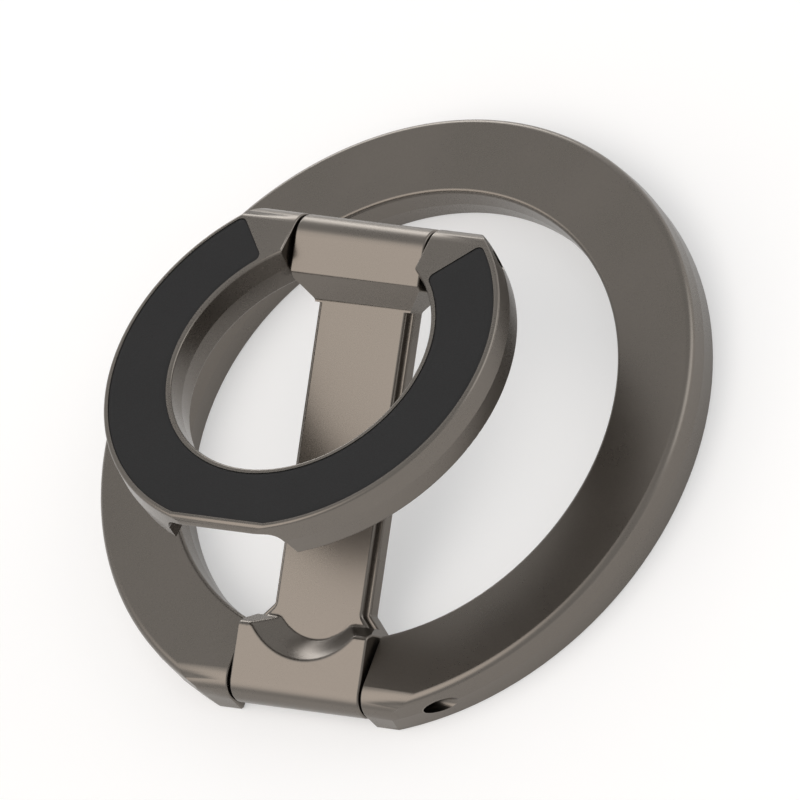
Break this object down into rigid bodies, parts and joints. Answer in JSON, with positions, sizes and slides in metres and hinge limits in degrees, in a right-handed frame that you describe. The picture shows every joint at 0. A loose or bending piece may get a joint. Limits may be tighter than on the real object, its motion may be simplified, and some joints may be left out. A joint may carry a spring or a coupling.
{
  "type": "phone ring holder",
  "caption": "Magnetic phone ring holder: flat magnet ring, hinged arm and hinged finger ring that fold flat into each other and also prop the phone up.",
  "frame": {"origin": "middle of the part's footprint, level with the magnet ring's back face", "axes": "+Z points away from the phone, +Y points from the lower hinge across the ring, +X runs along both hinge pins"},
  "size_m": [0.058, 0.0562, 0.0227],
  "materials": {
    "cast_metal": "satin",
    "soft_pad": "matte",
    "spring_steel": "satin",
    "yoke_steel": "satin",
    "magnet": "polished"
  },
  "bodies": {
    "magnet_ring": {"base_frame": "cast_metal", "base_pad": "soft_pad", "base_yoke": "yoke_steel", "base_hinge_pin": "spring_steel", "base_magnet_01": "magnet", "base_magnet_02": "magnet", "base_magnet_03": "magnet", "base_magnet_04": "magnet", "base_magnet_05": "magnet", "base_magnet_06": "magnet", "base_magnet_07": "magnet", "base_magnet_08": "magnet", "base_magnet_09": "magnet", "base_magnet_10": "magnet", "base_magnet_11": "magnet", "base_magnet_12": "magnet", "base_magnet_13": "magnet", "base_magnet_14": "magnet", "base_magnet_15": "magnet", "base_magnet_16": "magnet"},
    "arm": {"arm": "cast_metal"},
    "finger_loop": {"finger_ring": "cast_metal", "finger_pad": "soft_pad", "finger_hinge_pin": "spring_steel", "finger_yoke_left": "yoke_steel", "finger_yoke_right": "yoke_steel", "finger_magnet_01": "magnet", "finger_magnet_02": "magnet", "finger_magnet_03": "magnet", "finger_magnet_04": "magnet", "finger_magnet_05": "magnet", "finger_magnet_06": "magnet", "finger_magnet_07": "magnet", "finger_magnet_08": "magnet", "finger_magnet_09": "magnet", "finger_magnet_10": "magnet"}
  },
  "joints": [
    {"name": "arm_hinge", "type": "hinge", "parent": "magnet_ring", "child": "arm", "pos_m": [0, -0.02615, 0.00205], "axis": [1, 0, 0], "range_deg": [-20.8, 99.2]},
    {"name": "finger_hinge", "type": "hinge", "parent": "arm", "child": "finger_loop", "pos_m": [0, 0.00975, 0.01569], "axis": [-1, 0, 0], "range_deg": [-30.1, 64.9]}
  ]
}
